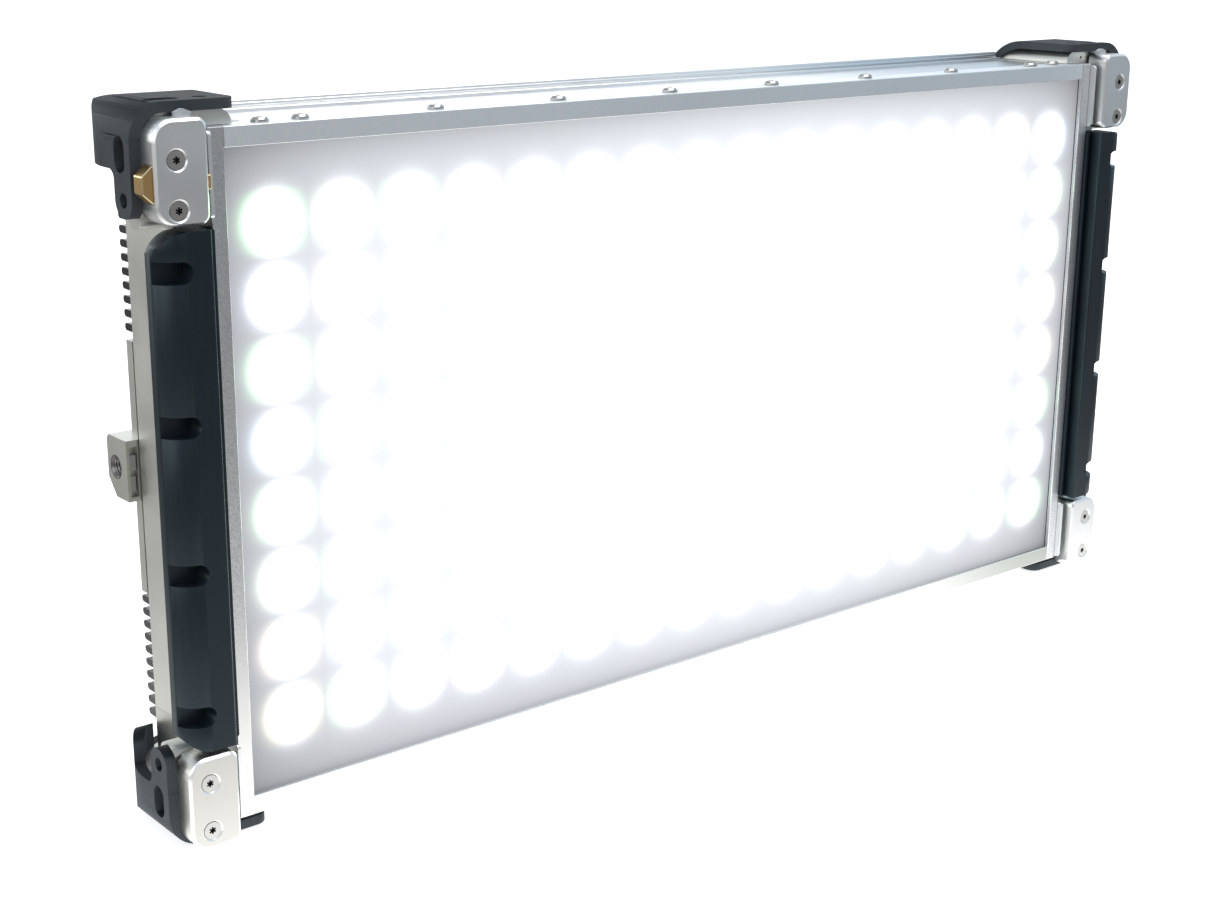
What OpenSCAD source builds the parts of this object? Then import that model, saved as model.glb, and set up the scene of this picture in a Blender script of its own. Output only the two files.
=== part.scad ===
// LED panel light: a flat studio soft light with a framed diffuser, side accessory rails,
// corner bumpers and yoke lugs. Every piece is drawn in the panel's own frame:
// X across, Y from the bezel's front face (0) to the back, Z up from the panel's centre.

/* [Light opening] */
// Width of the diffuser opening
opening_w = 565; // [400:1:800]
// Height of the diffuser opening
opening_h = 290; // [290:1:320]

/* [Bezel] */
// Width of the side strips
bezel_side = 7; // [6:0.5:9]
// Width of the top and bottom strips
bezel_rim = 8.7; // [8:0.1:9.5]
// Depth of the bezel's skirt
bezel_depth = 14; // [12:1:16]

/* [LED grid] */
// Columns of LED cells
led_columns = 16; // [8:1:20]
// Rows of LED cells
led_rows = 8; // [4:1:8]
// Distance between columns
led_pitch_x = 34.6; // [33:0.1:35]
// Distance between rows
led_pitch_z = 32; // [31:0.5:35]
// Diameter of one reflector cup
cup_d = 30; // [20:1:31]

/* [Depths] */
// How far the brackets stand in front of the bezel
bracket_front = 8.2; // [6:0.1:10]
// Rear face of the chassis
chassis_rear = 50; // [46:1:54]
// Rear face of the heat sink fins
fin_rear = 61; // [58:1:64]
// Rear face of the electronics housing
housing_rear = 84; // [80:1:90]

/* [Corners] */
// Outer half width at the brackets
bracket_half_w = 318; // [316:1:320]
// Height of a bracket
bracket_h = 43; // [38:1:44]
// Thickness of the rubber bumpers
bumper_t = 5; // [4:0.5:6]
// Half width of the threaded hole in the yoke lugs
lug_hole_r = 4; // [3:0.5:4.5]

/* [Hidden] */
$fn = 48;
half_open_w = opening_w / 2;
half_open_h = opening_h / 2;
bezel_half_w = half_open_w + bezel_side;
bezel_half_h = half_open_h + bezel_rim;
skirt_t = 2;
face_t = 2.5;

// side profile, from the bezel outwards
fin_in = bezel_half_w + 0.2;
fin_out = fin_in + 1.6;
channel_out = bracket_half_w - 24;
side_face = bracket_half_w - 14;
rail_rear = 5;
rail_corner_r = 12.3;
rail_half_h = 113.5;
slot_z = [-97, -32.3, 32.3, 97];
slot_h = 9.4;
slot_round_x = channel_out + 9.3;
slot_floor = 1;

// guide plates and corner blocks
guide_t = 1.4;
block_front = rail_rear + guide_t;
guide_lip = 3;
rail_lip = 2;
bracket_top = 159;
bracket_bottom = bracket_top - bracket_h;
block_half_h = 160.5;
block_bottom = 112.2;
block_rear = 62;
block_inner_x = 275;
corner_r = 11;
leg_r = 6.5;
plan_r = 36;
rear_r = 22;
band_half_w = 267;
band_bottom = bezel_half_h - 3.5;

// bumpers
bumper_front = 3;
bumper_rear = block_rear + bumper_t;
bumper_half_w = bracket_half_w + bumper_t;
bumper_half_h = block_half_h + bumper_t - 0.5;
tail_x = bumper_half_w - 49;
tail_r = 6;
tongue_y = 10.7;
tongue_r = 7.6;
tongue_z = 125.6;
valley_z = 137.5;
valley_r = 4;
lobe_y = 50;
lobe_r = 8;
lobe_z = 133;
tongue_screw_l = 6.2;
tail_screw_x = 286;
// slots for rigging hooks, with a pocket behind each in the corner block
rig_y = 12.3;
rig_slot_z = 144;
rig_slot_x = 303.5;
rig_slot_l = 15;
rig_slot_w = 9;
rig_half = (rig_slot_l - rig_slot_w) / 2;
rig_pocket_x = bracket_half_w - 6.5;
rig_pocket_z = block_half_h - 6.5;
// the lower bumpers sit a little nearer the middle
lower_shift = 4;

// screws: head radius, head height, shank radius
m4_flat_r = 3.9;
m4_flat_h = 1.9;
m4_head_r = 3.85;
m4_head_h = 2.2;
m4_shank_r = 2;
m3_head_r = 2.75;
m3_shank_r = 1.5;
clear = 0.05;
bracket_screw_x = 308;
upper_screw_z = [122.3, 142.6];
lower_screw_z = [128.3, 150.8];
screw_seat = 0.9 - bracket_front;
bracket_chamfer = 1.2;
bracket_screw_l = 18;
bezel_screw_x = [34.6, 103.8, 173, 242.2, 261.7];
bezel_screw_y = 7;

// light engine
spreader_front = 42;
spreader_rear = 47;
board_t = 1.6;
board_front = spreader_front - board_t;
led_size = 5;
led_t = 1;
cup_front = 22;
diffuser_front = 3.5;
diffuser_t = 3;
frame_rear = 14;

// heat sink
fin_pitch = 6.15;
fin_t = 3.4;
fin_first = 63;
fin_count = 14;
long_fins = 10;
sink_base_rear = 51;
sink_top = 149;
sink_bottom = 60;
fin_half_long = 302;
fin_half_short = 284;

// latch: nose, bar with a window for the spring, and a tongue across the channel
nose_bottom = 125.5;
nose_top = 141;
nose_chamfer = 4.2;
latch_front = -6.1;
latch_rear = 1.3;
latch_nose = 4.7;
latch_travel = 3.5;
latch_tip = fin_out + 0.7;
catch_bottom = 129.6;
catch_top = 135.6;
bar_x = 298.5;
bar_bottom = 127;
bar_top = 137.8;
nose_x = 313;
window_x0 = 300.5;
window_x1 = 310.3;
post_x0 = 307;
latch_gap = 0.15;
spring_r = 1.9;

// yoke mount
yoke_half_h = 58;
yoke_rear = 56.5;
lug_out = 310;
lug_rear = 70;
lug_half_h = 14;
lug_hole_y = 62;
lug_in = 292;
yoke_screw_x = 294.5;
yoke_screw_z = 44;

// electronics housing
housing_half_w = 235;
housing_half_h = 56;
housing_wall = 2.5;
housing_front = sink_base_rear;
panel_half_w = 112;
panel_half_h = 44;
panel_t = 2.5;
panel_rear = housing_rear + panel_t;
knob_x = [62, 92];
knob_z = 14;
knob_r = 10;
knob_h = 10;
shaft_r = 3;
button_x = [-72, -46, -20];
button_z = -26;
button_r = 4.5;
button_travel = 1;
window_x = -46;
window_z = 14;
window_w = 78;
window_h = 38;
switch_x = 62;
switch_z = -24;
pin_r = 1;
socket_x = [-140, -178];
inlet_x = 150;
socket_r = 12;
recess_r = 9.5;
recess_depth = 11;

middle_depth = (panel_rear + 0.6 + knob_h - bracket_front) / 2;

// ---- helpers ----

// moves the panel's frame so that the origin is at the bottom centre
module place() {
    translate([0, -middle_depth, bumper_half_h - lower_shift]) children();
}

// mirrors a piece drawn in the right-hand, upper quarter to one of the corners
module corner(sx, sz) {
    mirror([sx < 0 ? 1 : 0, 0, 0]) mirror([0, 0, sz < 0 ? 1 : 0]) children();
}

module sides() {
    for (sx = [-1, 1]) corner(sx, 1) children();
}

// screw heights, offset and tail screw of the upper (sz > 0) or lower corners
function screw_heights(sz) = sz > 0 ? upper_screw_z : lower_screw_z;
function shift(sz) = sz > 0 ? 0 : lower_shift;
function tail_screw_y(sz) = sz > 0 ? 12.5 : 18;
function tail_screw_l(sz) = sz > 0 ? 5 : 4;

// extrusions of a flat outline: in XZ along Y, in YZ along X, and in XY along Z
module along_y(y0, y1) {
    translate([0, y1, 0]) rotate([90, 0, 0]) linear_extrude(y1 - y0) children();
}

module along_x(x0, x1) {
    translate([x0, 0, 0]) rotate([90, 0, 90]) linear_extrude(x1 - x0) children();
}

module along_z(z0, z1) {
    translate([0, 0, z0]) linear_extrude(z1 - z0) children();
}

module block(x0, x1, y0, y1, z0, z1) {
    translate([x0, y0, z0]) cube([x1 - x0, y1 - y0, z1 - z0]);
}

module rod_x(x0, x1, y, z, r) {
    translate([x0, y, z]) rotate([0, 90, 0]) cylinder(h = x1 - x0, r = r);
}

module rod_y(x, y0, y1, z, r) {
    translate([x, y1, z]) rotate([90, 0, 0]) cylinder(h = y1 - y0, r = r);
}

module rod_z(x, y, z0, z1, r) {
    translate([x, y, z0]) cylinder(h = z1 - z0, r = r);
}

module cone_y(x, y0, y1, z, r0, r1) {
    translate([x, y0, z]) rotate([-90, 0, 0]) cylinder(h = y1 - y0, r1 = r0, r2 = r1);
}

// a rectangle with one radius for each corner, from the low corner round anticlockwise
module outline(x0, y0, x1, y1, r) {
    a = r[0];
    b = r[1];
    c = r[2];
    d = r[3];
    polygon([[x0 + a, y0], [x1 - b, y0], [x1, y0 + b], [x1, y1 - c],
        [x1 - c, y1], [x0 + d, y1], [x0, y1 - d], [x0, y0 + a]]);
    if (a > 0) translate([x0 + a, y0 + a]) circle(a);
    if (b > 0) translate([x1 - b, y0 + b]) circle(b);
    if (c > 0) translate([x1 - c, y1 - c]) circle(c);
    if (d > 0) translate([x0 + d, y1 - d]) circle(d);
}

module rectangle(x0, y0, x1, y1) {
    translate([x0, y0]) square([x1 - x0, y1 - y0]);
}

// a slot with round ends, between two end centres
module slot_outline(x0, y0, x1, y1, r) {
    translate([x0, y0]) circle(r);
    translate([x1, y1]) circle(r);
    if (x0 == x1) rectangle(x0 - r, min(y0, y1), x0 + r, max(y0, y1));
    else rectangle(min(x0, x1), y0 - r, max(x0, x1), y0 + r);
}

// ---- screws, each with its seat at the origin and its head towards +Z ----

module button_head(r, h) {
    cylinder(h = h * 0.5, r = r);
    translate([0, 0, h * 0.5]) cylinder(h = h * 0.5, r1 = r, r2 = r * 0.72);
}

module button_screw(length) {
    difference() {
        union() {
            button_head(m4_head_r, m4_head_h);
            translate([0, 0, -length]) cylinder(h = length, r = m4_shank_r);
        }
        translate([0, 0, 0.8]) cylinder(h = 3, r = 1.45, $fn = 6);
    }
}

module small_screw(length) {
    difference() {
        union() {
            button_head(m3_head_r, 1.6);
            translate([0, 0, -length]) cylinder(h = length, r = m3_shank_r);
        }
        translate([0, 0, 0.6]) cylinder(h = 3, r = 1.1, $fn = 6);
    }
}

module flat_head_screw(length) {
    difference() {
        union() {
            cylinder(h = 0.4, r = m4_flat_r);
            translate([0, 0, -m4_flat_h]) cylinder(h = m4_flat_h, r1 = m4_shank_r, r2 = m4_flat_r);
            translate([0, 0, -length]) cylinder(h = length - 1, r = m4_shank_r);
        }
        for (a = [0, 60, 120])
            rotate(a) translate([-0.45, -1.65, -1.3]) cube([0.9, 3.3, 4]);
    }
}

// ---- bezel and diffuser ----

module bezel_side_strip() {
    block(half_open_w, bezel_half_w, 0, face_t, -bezel_half_h, bezel_half_h);
    block(bezel_half_w - skirt_t, bezel_half_w, 0, bezel_depth, -bezel_half_h, bezel_half_h);
}

module bezel_rim_strip() {
    difference() {
        union() {
            block(-half_open_w, half_open_w, 0, face_t, half_open_h, bezel_half_h);
            block(-bezel_half_w + skirt_t, bezel_half_w - skirt_t, face_t, bezel_depth,
                bezel_half_h - skirt_t, bezel_half_h);
        }
        for (x = bezel_screw_x, s = [-1, 1])
            rod_z(s * x, bezel_screw_y, half_open_h, bezel_half_h + 1, m4_shank_r + clear);
    }
}

module bezel_left() {
    color("lightsteelblue") place() corner(-1, 1) bezel_side_strip();
}

module bezel_right() {
    color("lightsteelblue") place() bezel_side_strip();
}

module bezel_top() {
    color("lightsteelblue") place() bezel_rim_strip();
}

module bezel_bottom() {
    color("lightsteelblue") place() corner(1, -1) bezel_rim_strip();
}

module bezel_screws() {
    color("silver") place()
        for (sz = [-1, 1]) corner(1, sz) for (x = bezel_screw_x, s = [-1, 1])
            translate([s * x, bezel_screw_y, bezel_half_h]) button_screw(5);
}

diffuser_half_w = bezel_half_w - skirt_t - 0.2;
frame_half_h = bezel_half_h - skirt_t - 0.2;
diffuser_half_h = half_open_h + 3.5;

module diffuser_panel() {
    color("ghostwhite") place()
        block(-diffuser_half_w, diffuser_half_w, diffuser_front, diffuser_front + diffuser_t,
            -diffuser_half_h, diffuser_half_h);
}

module ring(half_w, half_h, w, y0, y1) {
    difference() {
        block(-half_w, half_w, y0, y1, -half_h, half_h);
        block(-half_w + w, half_w - w, y0 - 1, y1 + 1, -half_h + w, half_h - w);
    }
}

module diffuser_gasket() {
    color("dimgray") place()
        ring(diffuser_half_w, frame_half_h, 4, face_t, diffuser_front);
}

module diffuser_frame() {
    color("white") place() difference() {
        ring(diffuser_half_w, frame_half_h, 6, diffuser_front + diffuser_t, frame_rear);
        for (x = bezel_screw_x, s = [-1, 1], sz = [-1, 1])
            corner(1, sz) rod_z(s * x, bezel_screw_y, half_open_h, bezel_half_h, m4_shank_r + clear);
    }
}

// ---- light engine ----

function cell_x(i) = (i - (led_columns - 1) / 2) * led_pitch_x;
function cell_z(j) = (j - (led_rows - 1) / 2) * led_pitch_z;
engine_half_w = led_columns * led_pitch_x / 2;
engine_half_h = led_rows * led_pitch_z / 2;

module reflector_cups() {
    color("white") place() along_y(cup_front, board_front)
        difference() {
            rectangle(-engine_half_w, -engine_half_h, engine_half_w, engine_half_h);
            for (i = [0:led_columns - 1], j = [0:led_rows - 1])
                translate([cell_x(i), cell_z(j)]) circle(d = cup_d);
        }
}

module led_boards() {
    board_w = engine_half_w / 2;
    color("gold") place()
        for (k = [0:3])
            block(-engine_half_w + k * board_w + 0.1, -engine_half_w + (k + 1) * board_w - 0.1,
                board_front, spreader_front, -engine_half_h, engine_half_h);
}

module led_emitters() {
    color("khaki") place()
        for (i = [0:led_columns - 1], j = [0:led_rows - 1])
            translate([cell_x(i) - led_size / 2, board_front - led_t, cell_z(j) - led_size / 2])
                cube([led_size, led_t, led_size]);
}

module heat_spreader() {
    color("silver") place()
        block(-bezel_half_w, bezel_half_w, spreader_front, spreader_rear, -sink_top, sink_top);
}

// ---- chassis ----

module side_profile() {
    difference() {
        rectangle(fin_in, rail_rear, side_face, chassis_rear);
        rectangle(fin_in + 2.5, rail_rear + 3, side_face - 2.5, 26);
        rectangle(fin_in + 2.5, 29, side_face - 2.5, chassis_rear - 3);
    }
}

module side_extrusion() {
    difference() {
        along_z(-block_bottom, block_bottom) side_profile();
        for (z = [-1, 1])
            rod_y(yoke_screw_x, chassis_rear - 4, chassis_rear + 1, z * yoke_screw_z,
                m4_shank_r + clear);
    }
}

module side_extrusion_left() {
    color("darkgray") place() corner(-1, 1) side_extrusion();
}

module side_extrusion_right() {
    color("darkgray") place() side_extrusion();
}

// flat band, small rear ridge, a groove, and the rear rim
module rim_profile() {
    rectangle(bezel_depth + 0.1, band_bottom, chassis_rear, bezel_half_h);
    outline(chassis_rear - 4, band_bottom, chassis_rear, bezel_half_h + 1.6, [0, 0, 0.8, 0.8]);
    rectangle(chassis_rear - 4, band_bottom, chassis_rear + 6, band_bottom + 1.6);
    outline(chassis_rear + 3, band_bottom, fin_rear, bezel_half_h + 3.6, [0, 0, 1.5, 1.5]);
    outline(chassis_rear + 3.5, bezel_half_h + 3, chassis_rear + 5.5, bezel_half_h + 4.6,
        [0, 0, 0.9, 0.9]);
}

module rim_extrusion() {
    along_x(-band_half_w, band_half_w) rim_profile();
}

module top_extrusion() {
    color("lightsteelblue") place() rim_extrusion();
}

module bottom_extrusion() {
    color("lightsteelblue") place() corner(1, -1) rim_extrusion();
}

module fin_outline(k) {
    z = fin_first + k * fin_pitch;
    r = fin_t / 2;
    rectangle(sink_base_rear - 0.5, z - r, fin_rear - r, z + r);
    translate([fin_rear - r, z]) circle(r);
}

module heat_sink() {
    along_x(-fin_half_short, fin_half_short) {
        rectangle(spreader_rear, sink_bottom, sink_base_rear, sink_top);
        for (k = [long_fins:fin_count - 1]) fin_outline(k);
    }
    along_x(-fin_half_long, fin_half_long)
        for (k = [0:long_fins - 1]) fin_outline(k);
    for (s = [-1, 1]) corner(s, 1)
        block(fin_half_short - 1, fin_half_long, chassis_rear + 0.1, sink_base_rear,
            sink_bottom, fin_first + long_fins * fin_pitch - fin_pitch / 2);
}

module heat_sink_upper() {
    color("gray") place() heat_sink();
}

module heat_sink_lower() {
    color("gray") place() corner(1, -1) heat_sink();
}

module rear_plate() {
    color("darkgray") place()
        block(-bezel_half_w, bezel_half_w, spreader_rear, sink_base_rear,
            -sink_bottom + 0.2, sink_bottom - 0.2);
}

// ---- corner blocks ----

// the corner's outside form: rounded in plan, in front view and in side view
module corner_form(x0, y0, z0, grow, top) {
    r = corner_r + grow;
    intersection() {
        along_z(z0, top)
            outline(x0, y0, bracket_half_w + grow, block_rear + grow, [0, 0, plan_r + grow, 0]);
        along_y(y0, block_rear + grow)
            outline(x0, z0, bracket_half_w + grow, top, [0, 0, r, 0]);
        along_x(x0, bracket_half_w + grow)
            outline(y0, z0, block_rear + grow, top, [0, 0, rear_r + grow, 0]);
    }
}

// flat foot of the leg over the band, with a rounded inner end
module leg_outline(top) {
    intersection() {
        outline(block_inner_x, bezel_half_h - 10, fin_in + 5, top, [0, 0, 0, leg_r]);
        rectangle(block_inner_x - 1, bezel_half_h + 0.2, fin_in + 6, top);
    }
}

module corner_block_solid(drop) {
    top = block_half_h - drop;
    valley = valley_z - drop;
    // inner leg, in line with the side extrusion, and the leg that meets the band
    block(fin_in, side_face, block_front, chassis_rear, block_bottom, valley_z + 2);
    block(band_half_w + 0.2, side_face, bezel_depth + 0.2, chassis_rear,
        band_bottom, bezel_half_h + 0.3);
    // pad behind the bracket and under the bumper's tongue
    along_x(side_face - 1, bracket_half_w)
        outline(block_front, block_bottom + 1, 18, valley + 2, [5, 5, 0, 0]);
    // main corner
    intersection() {
        corner_form(block_inner_x, block_front, valley - 20, 0, top);
        along_y(block_front, block_rear) {
            rectangle(fin_in, valley, bracket_half_w, top);
            leg_outline(top);
        }
    }
}

module corner_block(sz, drilled = false) {
    slot_z = rig_slot_z - shift(sz);
    top = block_half_h - shift(sz);
    difference() {
        corner_block_solid(shift(sz));
        for (z = screw_heights(sz))
            rod_y(bracket_screw_x, 0, screw_seat + bracket_screw_l + 0.2, z, m4_shank_r + clear);
        rod_x(bracket_half_w - tongue_screw_l - 0.4, bracket_half_w + 1, tongue_y,
            tongue_z - shift(sz), m3_shank_r + clear);
        rod_z(tail_screw_x, tail_screw_y(sz), top - tail_screw_l(sz) - 0.4, top + 1,
            m3_shank_r + clear);
        if (drilled) rod_y(288, block_front - 1, block_front + 5, 157, 1);
        // pockets behind the rigging slots
        along_x(rig_pocket_x, bracket_half_w + 1)
            slot_outline(rig_y, slot_z - rig_half, rig_y, slot_z + rig_half, rig_slot_w / 2);
        along_z(rig_pocket_z, top + 1)
            slot_outline(rig_slot_x - rig_half, rig_y, rig_slot_x + rig_half, rig_y,
                rig_slot_w / 2);
    }
}

module corner_block_tl() {
    color("darkgray") place() corner(-1, 1) corner_block(1);
}

module corner_block_tr() {
    color("darkgray") place() corner(1, 1) corner_block(1, true);
}

module corner_block_bl() {
    color("darkgray") place() corner(-1, -1) corner_block(-1);
}

module corner_block_br() {
    color("darkgray") place() corner(1, -1) corner_block(-1);
}

// ---- rubber bumpers ----

module bumper_shell() {
    difference() {
        intersection() {
            corner_form(tail_x, bumper_front, valley_z - 30, bumper_t, bumper_half_h);
            along_y(bumper_front, bumper_rear) {
                rectangle(tail_x, bezel_half_h - 2.7, fin_in + 5, bumper_half_h);
                rectangle(fin_in, valley_z, bumper_half_w, bumper_half_h);
            }
            along_z(valley_z, bumper_half_h)
                outline(tail_x, bumper_front, bumper_half_w + 1, bumper_rear + 20,
                    [tail_r, 0, 0, 0]);
        }
        corner_form(tail_x - 1, bumper_front - 1, valley_z - 40, 0, block_half_h);
    }
}

// tongue down the side, with a fillet where it meets the shell
module bumper_tongue() {
    along_x(bracket_half_w, bumper_half_w) {
        translate([tongue_y, tongue_z]) circle(tongue_r);
        rectangle(tongue_y - tongue_r, tongue_z, tongue_y + tongue_r, valley_z + 3);
        difference() {
            rectangle(tongue_y, valley_z - valley_r, tongue_y + tongue_r + valley_r, valley_z + 1);
            translate([tongue_y + tongue_r + valley_r, valley_z - valley_r]) circle(valley_r);
        }
    }
}

// lobe that rises behind the fins
module bumper_lobe() {
    difference() {
        intersection() {
            along_z(lobe_z - lobe_r, valley_z + 3)
                outline(tail_x, 0, bumper_half_w, bumper_rear, [0, 0, plan_r + bumper_t, 0]);
            along_x(side_face - 0.5, bumper_half_w) {
                translate([lobe_y, lobe_z]) circle(lobe_r);
                rectangle(lobe_y - lobe_r, lobe_z, lobe_y + lobe_r, valley_z + 3);
            }
        }
        along_z(100, valley_z + 4)
            outline(200, -1, bracket_half_w, block_rear, [0, 0, plan_r, 0]);
    }
}

module bumper(sz) {
    translate([0, 0, -shift(sz)]) difference() {
        union() {
            bumper_shell();
            bumper_tongue();
            if (sz < 0) bumper_lobe();
        }
        // rigging slots and screw seats in the side and end walls
        along_x(bracket_half_w - 1, bumper_half_w + 1)
            slot_outline(rig_y, rig_slot_z - rig_half, rig_y, rig_slot_z + rig_half,
                rig_slot_w / 2);
        along_z(block_half_h - 1, bumper_half_h + 1)
            slot_outline(rig_slot_x - rig_half, rig_y, rig_slot_x + rig_half, rig_y,
                rig_slot_w / 2);
        rod_x(bracket_half_w - 1, bumper_half_w + 1, tongue_y, tongue_z, m3_head_r + 0.4);
        rod_z(tail_screw_x, tail_screw_y(sz), block_half_h - 1, bumper_half_h + 1,
            m3_head_r + 0.4);
        // step that clears the back of a lower bracket
        if (sz < 0) along_y(bumper_front - 1, rail_rear + 0.1)
            outline(channel_out - 0.2, bracket_bottom, bracket_half_w, bracket_top + shift(sz) + 0.1,
                [0, 0, 8.8, 3.8]);
    }
}

module bumper_tl() {
    color("darkslategray") place() corner(-1, 1) bumper(1);
}

module bumper_tr() {
    color("darkslategray") place() corner(1, 1) bumper(1);
}

module bumper_bl() {
    color("darkslategray") place() corner(-1, -1) bumper(-1);
}

module bumper_br() {
    color("darkslategray") place() corner(1, -1) bumper(-1);
}

module bumper_screws() {
    color("silver") place() for (sx = [-1, 1], sz = [-1, 1]) corner(sx, sz) {
        translate([bracket_half_w, tongue_y, tongue_z - shift(sz)]) rotate([0, 90, 0])
            small_screw(tongue_screw_l);
        translate([tail_screw_x, tail_screw_y(sz), block_half_h - shift(sz)])
            small_screw(tail_screw_l(sz));
    }
}

// ---- accessory rails, brackets and guide plates ----

module rail_profile() {
    rectangle(fin_in, -rail_lip, fin_out, rail_rear);
    rectangle(fin_in, 2, channel_out + 5, rail_rear);
    intersection() {
        outline(channel_out, -bracket_front, bracket_half_w, rail_rear + 20,
            [1, rail_corner_r, 0, 0]);
        rectangle(channel_out, -bracket_front, bracket_half_w, rail_rear);
    }
}

module accessory_rail() {
    difference() {
        intersection() {
            along_z(-rail_half_h, rail_half_h) rail_profile();
            along_y(-20, 20)
                outline(fin_in - 1, -rail_half_h, bracket_half_w + 1, rail_half_h, [4, 14, 14, 4]);
        }
        for (z = slot_z)
            along_y(-bracket_front - 1, slot_floor)
                slot_outline(slot_round_x + slot_h / 2, z, bracket_half_w + 10, z, slot_h / 2);
    }
}

module accessory_rail_left() {
    color("black") place() corner(-1, 1) accessory_rail();
}

module accessory_rail_right() {
    color("black") place() accessory_rail();
}

// bracket plate with a chamfered front edge: small radii inside, large radii outside
module bracket_plate() {
    c = bracket_chamfer;
    y0 = -bracket_front;
    y1 = y0 + c;
    x0 = channel_out;
    x1 = bracket_half_w;
    z0 = bracket_bottom;
    z1 = bracket_top;
    xm = x0 + 8;
    zm = (z0 + z1) / 2;
    along_y(y1, rail_rear) outline(x0, z0, x1, z1, [4, 9, 9, 4]);
    for (z = [z0 + 4, z1 - 4]) cone_y(x0 + 4, y0, y1, z, 4 - c, 4);
    for (z = [z0 + 9, z1 - 9]) cone_y(x1 - 9, y0, y1, z, 9 - c, 9);
    along_z(z0 + 4, z1 - 4) polygon([[x0 + c, y0], [xm, y0], [xm, y1], [x0, y1]]);
    along_z(z0 + 9, z1 - 9) polygon([[xm, y0], [x1 - c, y0], [x1, y1], [xm, y1]]);
    along_x(x0 + 4, x1 - 9) polygon([[y0, z0 + c], [y1, z0], [y1, zm], [y0, zm]]);
    along_x(x0 + 4, x1 - 9) polygon([[y0, zm], [y1, zm], [y1, z1], [y0, z1 - c]]);
}

module bracket(sz) {
    sink_h = m4_flat_r + clear + 0.9 - m4_shank_r - clear;
    difference() {
        bracket_plate();
        for (z = screw_heights(sz)) {
            rod_y(bracket_screw_x, -20, 20, z, m4_shank_r + clear);
            cone_y(bracket_screw_x, -bracket_front - 0.1, -bracket_front + sink_h, z,
                m4_shank_r + clear + sink_h + 0.1, m4_shank_r + clear);
        }
    }
}

// the one bracket that holds the spring latch
module latch_bracket() {
    y0 = latch_front - latch_gap;
    y1 = latch_rear + latch_gap;
    difference() {
        bracket(1);
        block(channel_out - 1, window_x0, y0, y1, catch_bottom - latch_gap, catch_top + latch_gap);
        block(bar_x - latch_gap, bracket_half_w + 1, y0, y1, bar_bottom - latch_gap,
            bar_top + latch_gap);
        block(nose_x - latch_gap, bracket_half_w + 1, y0, y1, nose_bottom - latch_gap,
            nose_top + latch_gap);
    }
    // post that the spring pushes against
    block(post_x0, post_x0 + 3, y0 - 0.5, y1 + 0.5, catch_bottom + 0.4, catch_top - 0.4);
}

module bracket_tl() {
    color("silver") place() corner(-1, 1) latch_bracket();
}

module bracket_tr() {
    color("silver") place() corner(1, 1) bracket(1);
}

module bracket_bl() {
    color("silver") place() corner(-1, -1) bracket(-1);
}

module bracket_br() {
    color("silver") place() corner(1, -1) bracket(-1);
}

module bracket_screws() {
    color("lightgray") place() for (sx = [-1, 1], sz = [-1, 1]) corner(sx, sz)
        for (z = screw_heights(sz))
            translate([bracket_screw_x, screw_seat, z]) rotate([90, 0, 0])
                flat_head_screw(bracket_screw_l);
}

module guide_plate(sz) {
    difference() {
        union() {
            along_x(fin_in, fin_out)
                outline(-guide_lip, bracket_bottom + 1, block_front, bezel_half_h - 1, [2, 0, 0, 2]);
            block(fin_in, bracket_half_w - 4, rail_rear, block_front,
                bracket_bottom + 1, bezel_half_h - 1);
        }
        for (z = screw_heights(sz))
            rod_y(bracket_screw_x, 0, 10, z, m4_shank_r + clear);
    }
}

module guide_plates() {
    color("lightgray") place() for (sx = [-1, 1], sz = [-1, 1]) corner(sx, sz) guide_plate(sz);
}

// ---- spring latch ----

// brass catch: its tongue closes the accessory channel, and pulling the chamfered nose
// outwards against the spring draws the tongue back out of the channel
module accessory_latch() {
    c = nose_chamfer;
    nose_out = bracket_half_w + latch_nose;
    color("goldenrod") place() corner(-1, 1) difference() {
        along_y(latch_front, latch_rear) {
            rectangle(latch_tip, catch_bottom, window_x0, catch_top);
            rectangle(bar_x, bar_bottom, nose_x + 1, bar_top);
            polygon([[nose_x, nose_bottom], [bracket_half_w, nose_bottom],
                [nose_out, nose_bottom + c], [nose_out, nose_top - c],
                [bracket_half_w, nose_top], [nose_x, nose_top]]);
        }
        block(window_x0, window_x1, latch_front - 1, latch_rear + 1, catch_bottom, catch_top);
    }
}

module latch_spring() {
    turns = 5;
    wire = 0.3;
    span = post_x0 - window_x0 - 2 * wire - 0.1;
    color("silver") place() corner(-1, 1)
        translate([window_x0 + 0.05, (latch_front + latch_rear) / 2, (catch_bottom + catch_top) / 2])
            rotate([0, 90, 0]) {
                for (k = [0:turns])
                    translate([0, 0, wire + k * span / turns])
                        rotate_extrude() translate([spring_r - wire, 0]) circle(wire, $fn = 16);
                for (a = [0, 180])
                    rotate(a) translate([spring_r - wire, 0, wire])
                        cylinder(h = span, r = wire * 0.8, $fn = 16);
            }
}

// ---- yoke mount ----

module yoke_rail() {
    difference() {
        union() {
            block(fin_half_short, side_face, sink_base_rear, yoke_rear, -yoke_half_h, yoke_half_h);
            along_x(lug_in, lug_out) polygon([[sink_base_rear, -lug_half_h],
                [lug_rear - 7, -lug_half_h], [lug_rear, -lug_half_h + 8],
                [lug_rear, lug_half_h - 2], [lug_rear - 2, lug_half_h],
                [sink_base_rear, lug_half_h]]);
        }
        rod_x(lug_in - 1, lug_out + 1, lug_hole_y, 0, 5.5);
        // recess in the front of the lug
        block(side_face + 0.8, lug_out - 1.4, sink_base_rear - 1, sink_base_rear + 4,
            -lug_half_h + 2, lug_half_h - 3);
        for (z = [-1, 1])
            rod_y(yoke_screw_x, sink_base_rear - 1, yoke_rear + 1, z * yoke_screw_z,
                m4_shank_r + clear);
    }
}

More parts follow.
